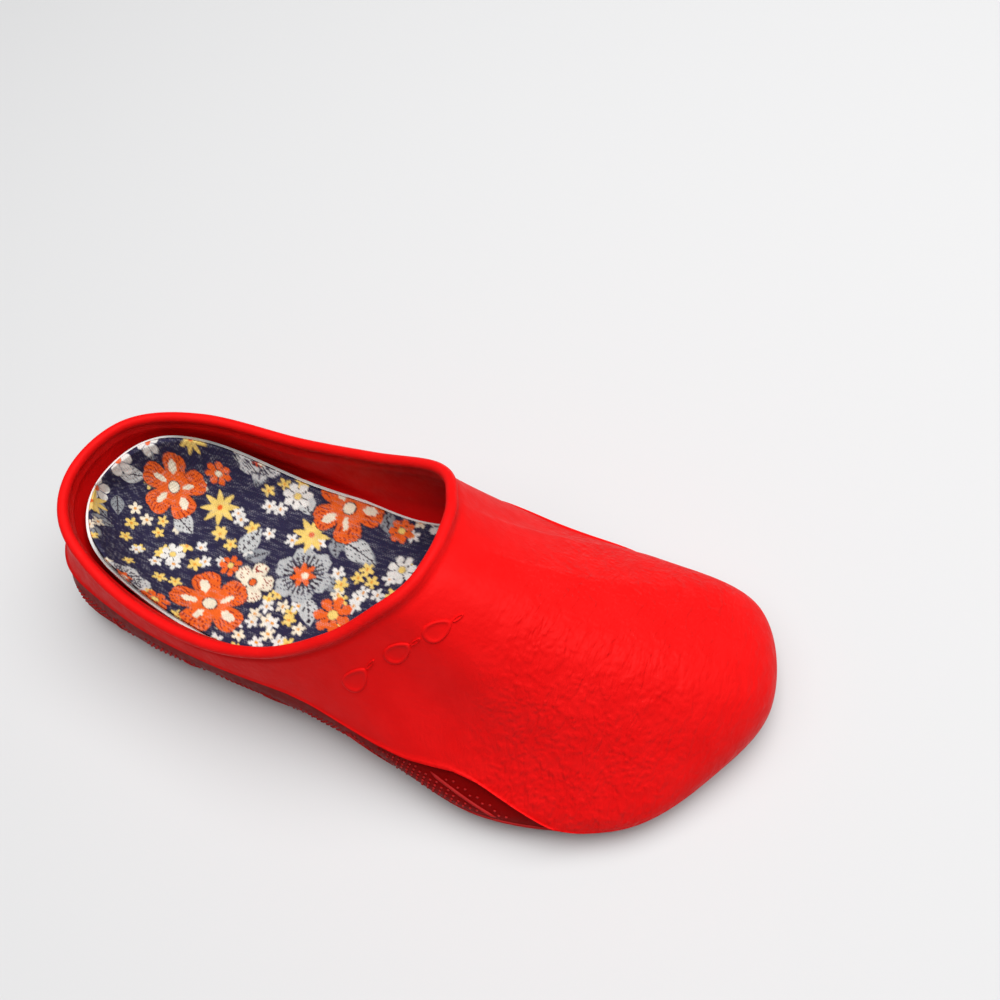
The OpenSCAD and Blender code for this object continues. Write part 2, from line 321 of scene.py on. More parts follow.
# rounded lip: from the underside round to the outer skin
for angle in np.linspace(-90, 0, 6):
    a = math.radians(angle)
    p = lip_side.copy()
    p[:, :2] += lip_out * LIP_R * (1.30 * math.cos(a) - 1)
    p[:, 2] += LIP_R * (1 + math.sin(a))
    rings.append(p)
for k in range(1, OUT_ROWS + 1):
    f = k / OUT_ROWS
    v = low_v + (under_bead - low_v) * f
    p = form.at(v)
    n = form.facing(v)
    lip_swell = 0.30 * LIP_R * (1 - ease((p[:, 2] - form.lip - 0.4) / 1.8))
    left = np.linalg.norm(p - form.ribs[3], axis=1)
    groove = 0.5 * np.exp(-((left - 3.6) / 1.1) ** 2)
    rings.append(p + n * (lip_swell - groove)[:, None])
back = form.ribs[2] - form.ribs[3]
start = np.arctan2(back[:, 2], (back[:, :2] * form.rim_out).sum(1))
for k in range(BEAD_ROWS + 1):
    a = start + math.radians(45 + 255 * k / BEAD_ROWS)
    p = form.ribs[3].copy()
    p[:, :2] += form.rim_out * (BEAD * np.cos(a))[:, None]
    p[:, 2] += BEAD * np.sin(a)
    rings.append(p)
for k in range(IN_ROWS + 1):
    rings.append(form.inside(under_bead + (foot_v - under_bead) * k / IN_ROWS))
rings.append(flange)
rings.append(rings[0])
points, quads = closed_rows(rings[:-1])
last = (len(rings) - 2) * form.n + np.arange(form.n)
first = np.arange(form.n)
quads = np.concatenate([quads, np.stack([last, first, np.roll(first, -1),
                                         np.roll(last, -1)], -1)])
# the material reads how far a point lies from the middle of the rolled rim
rim_gap = np.linalg.norm(np.stack(rings[:-1]) - form.ribs[3][None], axis=2)
upper = make_mesh("upper_shell_moulded", points, quads,
                  {"rim_gap": rim_gap.ravel()}, flip=True)

mat, at, shader = material("upper_rubber", Specular_IOR_Level=0.045)
gap_s = attribute(at, "rim_gap")
x = at.node("ShaderNodeSeparateXYZ", 0, Vector=at)
y, z = (Sock(at.tree, x.out.node.outputs[k]) for k in (1, 2))
warp = at.node("ShaderNodeTexNoise", 1, Vector=at, Scale=70.0, Detail=2.0)
bent = at.node("ShaderNodeVectorMath", operation="MULTIPLY_ADD", i0=warp,
               i1=(0.005, 0.005, 0.005), i2=at)
pebble = bent.cells(2.0, "SMOOTH_F1").ramp(0.1, 0.62, 1.0, 0.0)
skin_noise = bent.noise(1.6, 3.0, 0.6)
# wrinkles run across the foot over the toe and slant on the outer side
across = bent.stretched(1.0, 0.22, 0.4, 0.12).noise(2.4, 2.0, 0.55).ramp(0.34, 0.66)
slant = bent.stretched(1.0, 0.30, 0.4, 0.55).noise(2.4, 2.0, 0.55).ramp(0.34, 0.66)
toe = x.ramp(0.040, 0.062) * x.ramp(0.098, 0.116, 1.0, 0.25)
low_side = z.ramp(0.030, 0.044, 1.0, 0.0) * x.ramp(0.020, 0.050)
throat = gap_s.ramp(0.020, 0.045, 1.0, 0.0) * (y.ramp(-0.030, -0.010))
rim_free = gap_s.ramp(0.003, 0.008)
grain = (across * toe * 0.75 + slant * low_side * 0.45
         + pebble * (throat * 0.45 + toe * 0.42 + 0.10) + skin_noise * 0.30) * rim_free
soft = at.noise(9.0, 3.0).ramp(0.3, 0.7)
red = soft.mix((0.78, 0.0060, 0.0062, 1), (0.82, 0.0075, 0.0077, 1))
feed(shader, Base_Color=red, Normal=bump(grain, 0.40, 0.9),
     Roughness=at.noise(4.0, 2.0).ramp(0.3, 0.7, 0.44, 0.56))
finish_piece(upper, mat, "shell", "upper_shell")


# a small raised sprig of three leaves on the outer side of the vamp, moulded in one with it
SPRIG = ((11.0, 46.0, 5.6, 0.9), (23.5, 55.0, 5.2, 0.7), (34.5, 62.5, 5.0, 0.5))
LEAF_RINGS = ((1.0, -0.25), (0.98, 0.30), (0.90, 0.52), (0.78, 0.52), (0.70, 0.30),
              (0.62, 0.16), (0.30, 0.14))
LEAF_SIDES = 40
skin_rows = np.stack([form.at(low_v + (under_bead - low_v) * f) for f in
                      np.linspace(0, 1, 160)])
skin_norms = np.stack([form.facing(low_v + (under_bead - low_v) * f) for f in
                       np.linspace(0, 1, 160)])
outer_half = np.arange(form.n) > form.n // 2
pts, quad_list = [], []


def onto_skin(origin, e1, e2, u, w):
    """The point of the outer skin under a flat offset from origin, and its normal."""
    target = origin + e1 * u + e2 * w
    order = np.argsort(((skin_near - target) ** 2).sum(1))[:6]
    near = skin_near[order]
    share = 1 / (((near - target) ** 2).sum(1) + 0.05)
    share /= share.sum()
    n = (norm_near[order] * share[:, None]).sum(0)
    n /= np.linalg.norm(n)
    base = (near * share[:, None]).sum(0)
    return target + n * ((base - target) @ n), n


def add_outline(origin, e1, e2, outline):
    """A raised line round a leaf, with a low crown inside it."""
    first = len(pts)
    middle = outline.mean(0)
    for scale, rise in LEAF_RINGS:
        for u, w in middle + (outline - middle) * scale:
            p, n = onto_skin(origin, e1, e2, u, w)
            pts.append(p + n * rise)
    m = len(outline)
    for k in range(len(LEAF_RINGS) - 1):
        for j in range(m):
            a = first + k * m + j
            b = first + k * m + (j + 1) % m
            quad_list.append([a, b, b + m, a + m])
    p, n = onto_skin(origin, e1, e2, *middle)
    pts.append(p + n * 0.15)
    for j in range(m):
        a = first + (len(LEAF_RINGS) - 1) * m + j
        b = first + (len(LEAF_RINGS) - 1) * m + (j + 1) % m
        quad_list.append([a, b, len(pts) - 1, len(pts) - 1])
    p, n = onto_skin(origin, e1, e2, *middle)
    pts.append(p - n * 0.3)
    for j in range(m):
        quad_list.append([first + (j + 1) % m, first + j, len(pts) - 1, len(pts) - 1])


for leaf_x, leaf_z, leaf_size, leaf_turn in SPRIG:
    miss = (skin_rows[..., 0] - leaf_x) ** 2 + (skin_rows[..., 2] - leaf_z) ** 2
    miss[:, ~outer_half] = 1e9
    at_row, at_col = np.unravel_index(miss.argmin(), miss.shape)
    origin, up_n = skin_rows[at_row, at_col], skin_norms[at_row, at_col]
    close = ((skin_rows - origin) ** 2).sum(2) < 14.0 ** 2
    skin_near, norm_near = skin_rows[close], skin_norms[close]
    e1 = np.cross([0, 0, 1.0], up_n)
    e1 /= np.linalg.norm(e1)
    e2 = np.cross(up_n, e1)
    turn_c, turn_s = math.cos(leaf_turn), math.sin(leaf_turn)
    e1, e2 = e1 * turn_c + e2 * turn_s, e2 * turn_c - e1 * turn_s
    t = np.linspace(0, 2 * math.pi, LEAF_SIDES, endpoint=False)
    along_leaf = leaf_size * np.cos(t)
    wide = leaf_size * 0.62 * np.sin(t) * (1 - 0.30 * np.cos(t))
    add_outline(origin, e1, e2, np.c_[along_leaf, wide])
    stalk = np.c_[leaf_size * (1.45 + 0.42 * np.cos(t)), 0.55 * np.sin(t) - 0.3]
    add_outline(origin, e1, e2, stalk)
sprig = make_mesh("upper_leaf_mark", pts, np.array(quad_list))
finish_piece(sprig, mat, "shell", None)


# ---- Outsole ----
# The cupped sole of red rubber, darker than the upper: partly its own tone and partly painted
# shade for its shaded wall. Its wall is set back under the lip and carries slanting ribs and
# panels of raised dots; the tread has cross bars inside a flat band.
WALL_ROWS = 22
rings = []
bottom_in = np.c_[form.sole - form.sole_out * (form.undercut + 7)[:, None],
                  spring(form.sole[:, 0]) + 2.4]
edge_in = np.c_[form.sole - form.sole_out * (form.undercut + 6)[:, None],
                spring(form.sole[:, 0])]
edge_out = np.c_[form.sole - form.sole_out * (form.undercut + 0.8)[:, None],
                 spring(form.sole[:, 0])]
turn = np.c_[form.sole - form.sole_out * (form.undercut + 0.1)[:, None],
             spring(form.sole[:, 0]) + 0.35]
foot = np.c_[form.sole - form.sole_out * form.undercut[:, None],
             spring(form.sole[:, 0]) + 0.9]
rings += [bottom_in, edge_in, edge_out, turn, foot]
lip_v = form.reach(form.lip)
wall_points = []
for k in range(WALL_ROWS + 1):
    v = lip_v * k / WALL_ROWS
    p, n = form.at(v), form.facing(v)[:, :2]
    n = n / np.linalg.norm(n, axis=1)[:, None]
    p[:, :2] -= n * LIP_STEP
    rings.append(p)
    wall_points.append((p, n))
rings += bond
rings.append(np.c_[form.sole - form.sole_out * 12.5, np.full(form.n, DECK + 1.5)])
points, quads = closed_rows(rings)


def skin(side, height, columns, first, ring):
    """Points and quads that close a ring: columns between its two sides."""
    n = len(side)
    half = n // 2
    i = np.arange(1, half)
    c = np.arange(1, columns)
    a, b = side[i], side[(n - i) % n]
    share = (c / columns)[None, :, None]
    flat_points = a[:, None, :2] + (b - a)[:, None, :2] * share
    across = np.broadcast_to(2 * share[..., 0] - 1, flat_points.shape[:2])
    z = height(flat_points[..., 0], flat_points[..., 1], across)
    grid = np.zeros((half + 1, columns + 1), int)
    grid[1:-1, 1:-1] = first + np.arange((half - 1) * (columns - 1)).reshape(half - 1, -1)
    grid[:, 0] = ring * n + np.arange(half + 1)
    grid[:, -1] = ring * n + (n - np.arange(half + 1)) % n
    grid[0, :], grid[-1, :] = ring * n, ring * n + half
    q = np.stack([grid[:-1, :-1], grid[:-1, 1:], grid[1:, 1:], grid[1:, :-1]], -1)
    return np.concatenate([flat_points.reshape(-1, 2), z.reshape(-1, 1)], 1), q.reshape(-1, 4)


low_pts, low_q = skin(bottom_in, lambda x, y, a: spring(x) + 2.4, 24, len(points), 0)
top_pts, top_q = skin(rings[-1], lambda x, y, a: 0 * x + DECK + 1.5, 24,
                      len(points) + len(low_pts), len(rings) - 1)
outsole = make_mesh("outsole_moulded", np.concatenate([points, low_pts, top_pts]),
                    np.concatenate([quads, low_q, top_q[:, ::-1]]), flip=True)


def instanced(name, base, spots, normals, sizes, mat, turns=None):
    """One plain mesh of `base` put on every spot, facing along its normal."""
    cloud = bpy.data.meshes.new(name + "_spots")
    cloud.from_pydata((np.asarray(spots) / 1000).tolist(), [], [])
    layer = cloud.attributes.new("facing", "FLOAT_VECTOR", "POINT")
    layer.data.foreach_set("vector", np.asarray(normals, np.float32).ravel())
    layer = cloud.attributes.new("size", "FLOAT_VECTOR", "POINT")
    layer.data.foreach_set("vector", (np.asarray(sizes, np.float32)).ravel())
    layer = cloud.attributes.new("turn", "FLOAT", "POINT")
    turns = np.zeros(len(spots)) if turns is None else turns
    layer.data.foreach_set("value", np.asarray(turns, np.float32))
    holder = bpy.data.objects.new(name + "_holder", cloud)
    bpy.context.scene.collection.objects.link(holder)
    tree = bpy.data.node_groups.new(name + "_tree", "GeometryNodeTree")
    face = tree.interface
    face.new_socket("Spots", in_out="INPUT", socket_type="NodeSocketGeometry")
    base_in = face.new_socket("Shape", in_out="INPUT", socket_type="NodeSocketObject")
    mat_in = face.new_socket("Material", in_out="INPUT", socket_type="NodeSocketMaterial")
    face.new_socket("Mesh", in_out="OUTPUT", socket_type="NodeSocketGeometry")
    add = tree.nodes.new
    gin, gout = add("NodeGroupInput"), add("NodeGroupOutput")
    put, info = add("GeometryNodeInstanceOnPoints"), add("GeometryNodeObjectInfo")
    real, paint = add("GeometryNodeRealizeInstances"), add("GeometryNodeSetMaterial")
    align, spin = add("FunctionNodeAlignRotationToVector"), add("FunctionNodeRotateRotation")
    around = add("FunctionNodeAxisAngleToRotation")
    spin.rotation_space = "LOCAL"
    reads = {}
    for key, kind in (("facing", "FLOAT_VECTOR"), ("size", "FLOAT_VECTOR"),
                      ("turn", "FLOAT")):
        reads[key] = add("GeometryNodeInputNamedAttribute")
        reads[key].data_type = kind
        reads[key].inputs["Name"].default_value = key
    link = tree.links.new
    link(gin.outputs["Spots"], put.inputs["Points"])
    link(gin.outputs["Shape"], info.inputs["Object"])
    link(info.outputs["Geometry"], put.inputs["Instance"])
    link(reads["facing"].outputs["Attribute"], align.inputs["Vector"])
    link(reads["turn"].outputs["Attribute"], around.inputs["Angle"])
    link(align.outputs["Rotation"], spin.inputs["Rotation"])
    link(around.outputs["Rotation"], spin.inputs["Rotate By"])
    link(spin.outputs["Rotation"], put.inputs["Rotation"])
    link(reads["size"].outputs["Attribute"], put.inputs["Scale"])
    link(put.outputs["Instances"], real.inputs["Geometry"])
    link(real.outputs["Geometry"], paint.inputs["Geometry"])
    link(gin.outputs["Material"], paint.inputs["Material"])
    link(paint.outputs["Geometry"], gout.inputs["Mesh"])
    mod = holder.modifiers.new("spread", "NODES")
    mod.node_group = tree
    mod[base_in.identifier] = base
    mod[mat_in.identifier] = mat
    bpy.context.view_layer.update()
    done = holder.evaluated_get(bpy.context.evaluated_depsgraph_get())
    mesh = bpy.data.meshes.new_from_object(done)
    bpy.data.objects.remove(holder)
    obj = bpy.data.objects.new(name, mesh)
    obj.data.name = name
    bpy.context.scene.collection.objects.link(obj)
    return obj


sole_mat, at, shader = material("outsole_rubber", Specular_IOR_Level=0.04)
# both reds are darker than the upper's: partly the sole's own tone, partly painted shade for
# the wall under the lip
dust = at.noise(14.0, 4.0).ramp(0.35, 0.75)
feed(shader, Base_Color=dust.mix((0.20, 0.0008, 0.0008, 1), (0.25, 0.0012, 0.0012, 1)),
     Normal=bump(at.cells(1.1, "SMOOTH_F1"), 0.05, 0.6),
     Roughness=at.noise(3.0, 2.0).ramp(0.3, 0.7, 0.42, 0.58))
finish_piece(outsole, sole_mat, "shell", "outsole")

# a low round dot of a few dozen faces
DOT_SIDES = 8
DOT_RINGS = ((1.0, -0.3), (0.9, 0.42), (0.5, 0.78))
dot_points = [(r * math.cos(t), r * math.sin(t), h) for r, h in DOT_RINGS
              for t in np.linspace(0, 2 * math.pi, DOT_SIDES, endpoint=False)]
dot_points += [(0, 0, 0.86), (0, 0, -0.3)]
faces = []
for k in range(len(DOT_RINGS) - 1):
    for j in range(DOT_SIDES):
        a, b = k * DOT_SIDES + j, k * DOT_SIDES + (j + 1) % DOT_SIDES
        faces.append([a, b, b + DOT_SIDES, a + DOT_SIDES])
rim0 = (len(DOT_RINGS) - 1) * DOT_SIDES
for j in range(DOT_SIDES):
    faces.append([rim0 + j, rim0 + (j + 1) % DOT_SIDES, len(dot_points) - 2])
    faces.append([(j + 1) % DOT_SIDES, j, len(dot_points) - 1])
mesh = bpy.data.meshes.new("dot_shape")
mesh.from_pydata(dot_points, [], faces)
mesh.polygons.foreach_set("use_smooth", [True] * len(faces))
dot = bpy.data.objects.new("dot_shape", mesh)

# panels of dots along the wall, one behind each slanting rib and a few dots ahead of it
spots, normals, sizes = [], [], []
wall_p = np.stack([w[0] for w in wall_points])
wall_n = np.stack([w[1] for w in wall_points])
length = np.r_[0, np.cumsum(np.linalg.norm(np.diff(wall_p[8][:, :2], axis=0), axis=1))]


def on_wall(s, z):
    """The wall's point at distance s round from the heel's back and height z."""
    i = np.interp(s % length[-1], length, np.arange(form.n))
    a, f = int(i) % form.n, i - int(i)
    b = (a + 1) % form.n
    line, norm = (wall_p[:, a] * (1 - f) + wall_p[:, b] * f,
                  wall_n[:, a] * (1 - f) + wall_n[:, b] * f)
    out = [np.interp(z, line[:, 2], line[:, j]) for j in (0, 1)]
    n = [np.interp(z, line[:, 2], norm[:, j]) for j in (0, 1)]
    return np.array([*out, z]), np.array([*n, 0.0])


DOT_PITCH, DOT_ROW, DOT_R = 2.3, 1.35, 0.00048
BAY = 38.0                      # from one slanting rib to the next
RIB_X = 53.2                    # the top of the foremost rib of the outer side
DOTS_BEHIND, DOTS_AHEAD = (3.0, 21.0), (31.0, 35.5)
RIB_LEAN = 0.5
FOOT_BAND = 12.6                # plain band at the foot of the wall
total = length[-1]


def ceiling_at(s):
    """Height below the lip up to which the wall is patterned."""
    i = np.interp(s % total, length, np.arange(form.n))
    lip = np.interp(i, np.arange(form.n), form.lip)
    return min(lip - 2.4, 21.5)


def rib_at(z):
    """How far the slanting rib of a bay leans forward below its top."""
    return (21.5 - z) * RIB_LEAN


outer = slice(form.n // 2, form.n)
first_rib = total - np.interp(-RIB_X, -wall_p[8][outer, 0], length[outer])


def behind_rib(s, z):
    """How far behind the next slanting rib a place on the wall lies."""
    from_heel = min(s % total, total - s % total)
    return (first_rib + rib_at(z) - from_heel) % BAY


for row_k in range(7):
    z = FOOT_BAND + 0.6 + row_k * DOT_ROW
    for col in range(int(total / DOT_PITCH)):
        s = (col + 0.5 * (row_k % 2)) * DOT_PITCH
        if z > ceiling_at(s):
            continue
        b = behind_rib(s, z)
        if not (DOTS_BEHIND[0] < b < DOTS_BEHIND[1] or DOTS_AHEAD[0] < b < DOTS_AHEAD[1]):
            continue
        p, n = on_wall(s, z)
        spots.append(p)
        normals.append(n)
        sizes.append([DOT_R, DOT_R, DOT_R])
# the raised dots, slanting ribs and ledge are a lighter red than the sole's wall: painted
# highlight on their tops
lit_tops_mat, at, shader = material("outsole_rubber_painted_highlight", Specular_IOR_Level=0.12)
feed(shader, Base_Color=at.noise(14.0, 3.0).ramp(0.3, 0.7).mix((0.34, 0.008, 0.008, 1),
                                                              (0.46, 0.014, 0.014, 1)),
     Roughness=at.noise(3.0).ramp(0.3, 0.7, 0.40, 0.52))
dots = instanced("outsole_wall_dots", dot, spots, normals, sizes, lit_tops_mat)
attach(dots, "shell")


def bar_on_wall(name, lines, half_width, rise):
    """Rounded ribs that follow the wall along lines of (distance round, height)."""
    pts, qds = [], []
    profile = [(-1, -0.3), (-0.85, 0.55), (-0.45, 0.95), (0, 1.0), (0.45, 0.95),
               (0.85, 0.55), (1, -0.3)]
    for line in lines:
        base, m, k = len(pts), len(line), len(profile)
        line = np.array(line, float)
        step = np.gradient(line, axis=0)
        step /= np.linalg.norm(step, axis=1)[:, None]
        for j, (s, z) in enumerate(line):
            end = 0.35 if j in (0, m - 1) else 1.0
            for u, h in profile:
                p, n = on_wall(s - step[j, 1] * u * half_width * end,
                               z + step[j, 0] * u * half_width * end)
                pts.append(p + n * (h * rise * (end if h > 0 else 1)))
        for j in range(m - 1):
            for c in range(k - 1):
                a = base + j * k + c
                qds.append([a, a + 1, a + k + 1, a + k])
            a = base + j * k
            qds.append([a + k - 1, a, a + k, a + 2 * k - 1])
        for a, order in ((base, 1), (base + (m - 1) * k, -1)):
            mid = [a + c for c in range(k)][::order]
            for c in range(1, k - 1):
                qds.append([mid[0], mid[c + 1], mid[c], mid[0]])
    return make_mesh(name, pts, np.array(qds), flip=True)


lines = []
for side in (0, 1):
    for d in np.arange(first_rib % BAY + BAY, total / 2 - 20, BAY):
        line = [(abs(side * total - d - rib_at(z)), z) for z in np.linspace(12.2, 21.0, 12)]
        line = [(s, z) for s, z in line if z < ceiling_at(s)]
        if len(line) > 3:
            lines.append(line)
# a faint ledge along the foot of the wall
LEDGE_Z = 10.2
lines.append([(s, LEDGE_Z) for s in np.linspace(0, total, 420)])
ribs = bar_on_wall("outsole_wall_ribs", lines, 0.7, 0.6)
finish_piece(ribs, lit_tops_mat, "shell", None)

# tread: short cross bars in staggered rows inside the edge band
bar = bpy.data.meshes.new("bar_shape")
corners = [(-1, -1, -1), (1, -1, -1), (1, 1, -1), (-1, 1, -1), (-0.78, -0.9, 1),
           (0.78, -0.9, 1), (0.78, 0.9, 1), (-0.78, 0.9, 1)]
bar.from_pydata(corners, [], [[3, 2, 1, 0], [4, 5, 6, 7], [0, 1, 5, 4], [1, 2, 6, 5],
                              [2, 3, 7, 6], [3, 0, 4, 7]])
bar_obj = bpy.data.objects.new("bar_shape", bar)
inner_line = form.sole - form.sole_out * (form.undercut + 8)[:, None]
half = form.n // 2
side_a, side_b = inner_line[1:half], inner_line[form.n - 1:half:-1]
spots, normals, sizes, turns = [], [], [], []
for row_k, x0 in enumerate(np.arange(-116, 116, 6.4)):
    left_y = np.interp(x0, side_a[:, 0], side_a[:, 1])
    right_y = np.interp(x0, side_b[:, 0], side_b[:, 1])
    for y0 in np.arange(right_y + 5.5 + 3.6 * (row_k % 2), left_y - 4.5, 11.5):
        spots.append([x0, y0, spring(x0) + 1.4])
        normals.append([0, 0, -1])
        sizes.append([0.0019, 0.0046, 0.0014])
        turns.append(0.32 * (-1) ** row_k)
tread = instanced("outsole_tread_bars", bar_obj, spots, normals, sizes, sole_mat, turns)
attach(tread, "shell")


# ---- Footbed ----
# A loose insole in four layers that are glued together: backing sheet, cork-filled foam
# with a heel cup, white foam whose cut edge shows, and printed canvas. It lies on the deck.
bed = Form(56)
COVER, CUSHION, BACKING, THICK, GAP, RIM_CLEAR = 0.7, 2.0, 0.6, 5.1, 1.0, 2.3
LIFT, SPARE, CUP_RISE = math.radians(6), 2.0, 23.0
bed_base = DECK + 1.6 + 0.3
core_base = bed_base + BACKING
arch_top = bed_base + THICK
CUP_START, CUP_RUN, BACK_RUN = -35, 70, 42


def edge_height(x):
    return (arch_top + 2 + CUP_RISE * ease((CUP_START - x) / CUP_RUN)
            - 2 * ease(x / 60) + 2 * ease((x - 65) / 70))


def middle_height(x):
    return (arch_top + 4 * ease((CUP_START - x) / CUP_RUN) - 0.6 * ease(x / 60)
            + 1.6 * ease((x - 65) / 70))


def side_share(x, a):
    back = np.clip((BACK_RUN - (x - bed.sole[0, 0]) + 13) / BACK_RUN, 0, 1)
    return np.minimum(1, np.abs(a) ** 3 + back ** 3)


def top_height(x, a):
    m = middle_height(x)
    return m + (edge_height(x) - m) * side_share(x, a)


def clear_point(z):
    v = bed.reach(z, bed.inside)
    n = bed.facing(v)[:, :2]
    n = n / np.linalg.norm(n, axis=1)[:, None]
    p = bed.inside(v)[:, :2] - n * GAP
    past = ((p - bed.rim[:, :2]) * bed.rim_out).sum(1) - bed.lean + RIM_CLEAR
    return p - bed.rim_out * np.maximum(past, 0)[:, None]


def bed_side(z):
    """The footbed's side at height z, clear of the wall where it lies and when lifted."""
    z = np.broadcast_to(z, (bed.n,))
    lying = clear_point(z)
    rise = (bed.sole[bed.n // 2, 0] - bed.sole[:, 0]) * math.sin(LIFT)
    lifted = clear_point(np.minimum(z + SPARE + rise, 68))
    inward = np.maximum(0, ((lying - lifted) * bed.sole_out).sum(1))
    for _ in range(12):
        inward = (inward * 2 + np.roll(inward, 1) + np.roll(inward, -1)) / 4
    return lying - bed.sole_out * inward[:, None]


def layer_ring(drop, pull=0.0):
    z = edge_height(bed_side(24)[:, 0]) - drop
    return np.c_[bed_side(z) - bed.sole_out * pull, z]


def layer(name, lower, upper_ring, low_fn, top_fn, columns, extra=None):
    """A closed layer between two rings, with a skin below and a skin above."""
    sides = [lower] + (extra or []) + [upper_ring]
    pts, q = closed_rows(sides)
    lo, lo_q = skin(lower, low_fn, columns, len(pts), 0)
    hi, hi_q = skin(upper_ring, top_fn, columns, len(pts) + len(lo), len(sides) - 1)
    return np.concatenate([pts, lo, hi]), np.concatenate([q, lo_q, hi_q[:, ::-1]])


def level(z):
    """A flat skin at height z."""
    return lambda x, y, a: 0 * x + z


def under(drop):
    """A skin that lies `drop` below the footbed's top."""
    return lambda x, y, a: top_height(x, a) - drop


full = bed
bed = Form(16)
pts, q = layer("backing", np.c_[bed_side(bed_base), np.full(bed.n, bed_base)],
               np.c_[bed_side(core_base), np.full(bed.n, core_base)],
               level(bed_base), level(core_base), 24)
backing = make_mesh("footbed_backing_sheet", pts, q, flip=True)
mat, at, shader = material("backing_felt", Roughness=0.95, Specular_IOR_Level=0.2)
fibre = at.stretched(1, 0.3, 1).noise(1.2, 4.0, 0.7)
feed(shader, Base_Color=fibre.ramp(0.3, 0.7).mix((0.34, 0.26, 0.17, 1),
                                                (0.50, 0.41, 0.29, 1)),
     Normal=bump(fibre, 0.12, 0.8))
finish_piece(backing, mat, "footbed", "footbed_backing")

drop = COVER + CUSHION
core_low = np.c_[bed_side(core_base), np.full(bed.n, core_base)]
core_top = layer_ring(drop)
mids = [core_low * (1 - t) + core_top * t for t in (0.2, 0.4, 0.6, 0.8)]
for ring in mids:
    ring[:, :2] = bed_side(ring[:, 2])
pts, q = layer("core", core_low, core_top, level(core_base), under(drop), 30, mids)
core = make_mesh("footbed_core_foam", pts, q, flip=True)
mat, at, shader = material("core_cork_foam", Roughness=0.9, Specular_IOR_Level=0.25)
crumbs = at.cells(1.6, "F1", 1)
pick = crumbs.node("ShaderNodeSeparateColor", 0, i0=crumbs)
feed(shader, Base_Color=pick.ramp(0.1, 0.9).mix((0.36, 0.20, 0.09, 1),
                                               (0.72, 0.52, 0.31, 1)),
     Normal=bump(at.cells(1.6), 0.2, 0.7))
finish_piece(core, mat, "footbed", "footbed_core")

drop_c = COVER
low_ring, high_ring = layer_ring(drop), layer_ring(drop_c)
mid_ring = (low_ring + high_ring) / 2
mid_ring[:, :2] += bed.sole_out * 0.25
pts, q = layer("cushion", low_ring, high_ring, under(drop), under(drop_c), 30, [mid_ring])
cushion = make_mesh("footbed_cushion_foam", pts, q, flip=True)
mat, at, shader = material("cushion_foam", Roughness=0.85, Specular_IOR_Level=0.3)
pores = at.cells(0.5, "SMOOTH_F1")
feed(shader, Base_Color=at.noise(5.0).ramp(0.3, 0.7).mix((0.80, 0.79, 0.76, 1),
                                                        (0.90, 0.89, 0.87, 1)),
     Normal=bump(pores, 0.1, 0.6))
finish_piece(cushion, mat, "footbed", "footbed_cushion")

# the printed canvas stops short of the foam's edge; its mesh is fine enough to hold the
# print point by point
bed = full
INSET = 1.2
bottom_ring, top_ring = layer_ring(COVER, INSET), layer_ring(0.0, INSET + 0.3)
soft_edge = layer_ring(0.22, INSET)
pts, q = layer("cover", bottom_ring, top_ring, under(COVER), under(0.0), 150, [soft_edge])
# print coordinates: level where the footbed is flat, and on up the cup's walls
toward = pts[:, :2] - np.c_[np.maximum(pts[:, 0], -88.0), 0.35 * pts[:, 1]]
toward /= np.maximum(np.linalg.norm(toward, axis=1), 1e-6)[:, None]
lifted_by = np.maximum(pts[:, 2] - arch_top - 1, 0)
print_at = pts[:, :2] + toward * (lifted_by * 0.55)[:, None]

NAVY = np.array([0.020, 0.017, 0.052])
colour = np.tile(NAVY, (len(pts), 1))
rng = np.random.default_rng(5)
CREAM, ORANGE, DEEP = (0.84, 0.76, 0.58), (0.80, 0.12, 0.012), (0.30, 0.02, 0.01)
YELLOW, GREY, WHITE = (0.86, 0.62, 0.16), (0.42, 0.44, 0.44), (0.80, 0.79, 0.74)
DARK = (0.025, 0.015, 0.03)


def paint(inside, tint):
    """Lays a tint over the print where `inside` goes from 0 to 1."""
    k = np.clip(inside, 0, 1)[:, None]
    colour[:] = colour * (1 - k) + np.asarray(tint) * k


def local(x, y, turn=0.0):
    """Print coordinates round the point that lies over (x, y) in plan."""
    here = print_at[np.argmin((pts[:, 0] - x) ** 2 + (pts[:, 1] - y) ** 2)]
    d = print_at - here
    return d, np.hypot(*d.T), np.arctan2(d[:, 1], d[:, 0]) + turn


def edge(d, soft=0.3):
    return d / soft + 0.5


def five_petal(x, y, size, tint, heart, turn=0.0, blotch=CREAM):
    """A large bloom of five separate petals, each with a pale blotch and dark streaks."""
    _, r, a = local(x, y, turn)
    sector = np.mod(a, 2 * np.pi / 5) - np.pi / 5
    u, w = r * np.cos(sector), r * np.sin(sector)
    t = np.clip(u / size, 0, 1)
    half = size * (0.10 + 0.40 * t ** 0.8) * np.sqrt(np.clip(1 - ((t - 0.2) / 0.8) ** 4, 0, 1))
    frill = 0.03 * size * np.sin(a * 27 + 3 * np.sin(a * 5))
    petal = np.minimum(half - np.abs(w), (size + frill - r)) * (u > size * 0.1)
    paint(edge(petal + 0.5), DARK)
    paint(edge(petal), tint)
    streak = np.abs(np.sin(sector * 22 + 0.8 * np.sin(r * 1.3))) > 0.93
    paint(edge(petal - 0.4) * streak * (r > size * 0.5) * 0.5, DEEP)
    if blotch is not None:
        which = np.floor(np.mod(a, 2 * np.pi) / (2 * np.pi / 5))
        shift = np.sin(which * 2.4 + x)
        ragged = 0.10 * np.sin(u * 2.1 + w * 3.0)
        oval = 1 + ragged - np.hypot((u - size * (0.52 + 0.08 * shift)) / (size * 0.20),
                                     (w - size * 0.08 * shift)
                                     / (size * (0.10 + 0.03 * shift)))
        paint(edge(oval * size * 0.2) * (petal > 0), blotch)
    paint(edge(size * 0.17 + 0.35 - r), DARK)
    paint(edge(size * 0.17 - r), heart)


